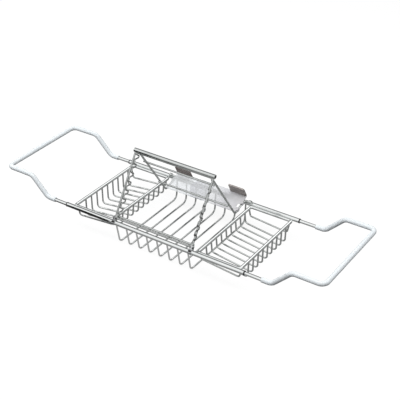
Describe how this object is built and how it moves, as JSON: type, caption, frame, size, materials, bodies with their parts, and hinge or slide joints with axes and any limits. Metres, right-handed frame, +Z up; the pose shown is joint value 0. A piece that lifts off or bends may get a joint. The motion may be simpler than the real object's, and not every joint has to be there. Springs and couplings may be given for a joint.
{
  "type": "bath caddy",
  "caption": "Extending chrome wire tray that spans a bathtub, with three baskets, sliding coated handles and a tilting book rest with a clear ledge.",
  "frame": {"origin": "centre of the footprint at the lowest wire of the middle basket", "axes": "+X along the rails from the left handle to the right handle, +Y towards the rear rail that carries the book rest's ledge, +Z up"},
  "size_m": [0.71, 0.2109, 0.1727],
  "materials": {
    "chrome_tube": "bright plated steel",
    "chrome_wire": "bright plated steel wire",
    "white_vinyl": "smooth dipped vinyl coat",
    "black_plastic": "moulded, satin",
    "nylon": "moulded, plain",
    "clear_plastic": "clear, polished",
    "dark_plastic": "dark moulded plastic, satin"
  },
  "bodies": {
    "rack": {"front_rail_tube": "chrome_tube", "rear_rail_tube": "chrome_tube", "tube_end_bushes": "black_plastic", "centre_basket_wires": "chrome_wire", "left_basket_rim": "chrome_wire", "right_basket_rim": "chrome_wire", "left_basket_wires": "chrome_wire", "right_basket_wires": "chrome_wire", "left_guard_wires": "chrome_wire", "right_guard_wires": "chrome_wire", "rear_pivot_eyelets": "chrome_wire"},
    "left_handle": {"left_handle_wire": "chrome_tube", "left_handle_sleeve": "white_vinyl", "left_leg_glides": "nylon"},
    "right_handle": {"right_handle_wire": "chrome_tube", "right_handle_sleeve": "white_vinyl", "right_leg_glides": "nylon"},
    "prop_frame": {"prop_frame_wire": "chrome_wire", "prop_top_tube": "chrome_tube", "prop_lower_bar": "chrome_wire", "left_notch_wire": "chrome_wire", "right_notch_wire": "chrome_wire", "left_front_clip": "chrome_wire", "right_front_clip": "chrome_wire"},
    "book_rest": {"book_top_rod": "chrome_wire", "left_book_leg": "chrome_wire", "right_book_leg": "chrome_wire", "upper_cross_wire": "chrome_wire", "lower_cross_wire": "chrome_wire", "left_ledge_sheet": "clear_plastic", "right_ledge_sheet": "clear_plastic", "left_page_lip": "dark_plastic", "right_page_lip": "dark_plastic"}
  },
  "joints": [
    {"name": "left_handle_slide", "type": "slide", "parent": "rack", "child": "left_handle", "axis": [-1, 0, 0], "range_m": [-0.0279, 0.0867]},
    {"name": "right_handle_slide", "type": "slide", "parent": "rack", "child": "right_handle", "axis": [1, 0, 0], "range_m": [-0.033, 0.0816]},
    {"name": "prop_hinge", "type": "hinge", "parent": "rack", "child": "prop_frame", "pos_m": [-0.00255, -0.1, 0.0476], "axis": [1, 0, 0], "range_deg": [0, 120]},
    {"name": "book_rest_hinge", "type": "hinge", "parent": "rack", "child": "book_rest", "pos_m": [-0.00255, 0.096, 0.0538], "axis": [-1, 0, 0], "range_deg": [0, 50]}
  ]
}
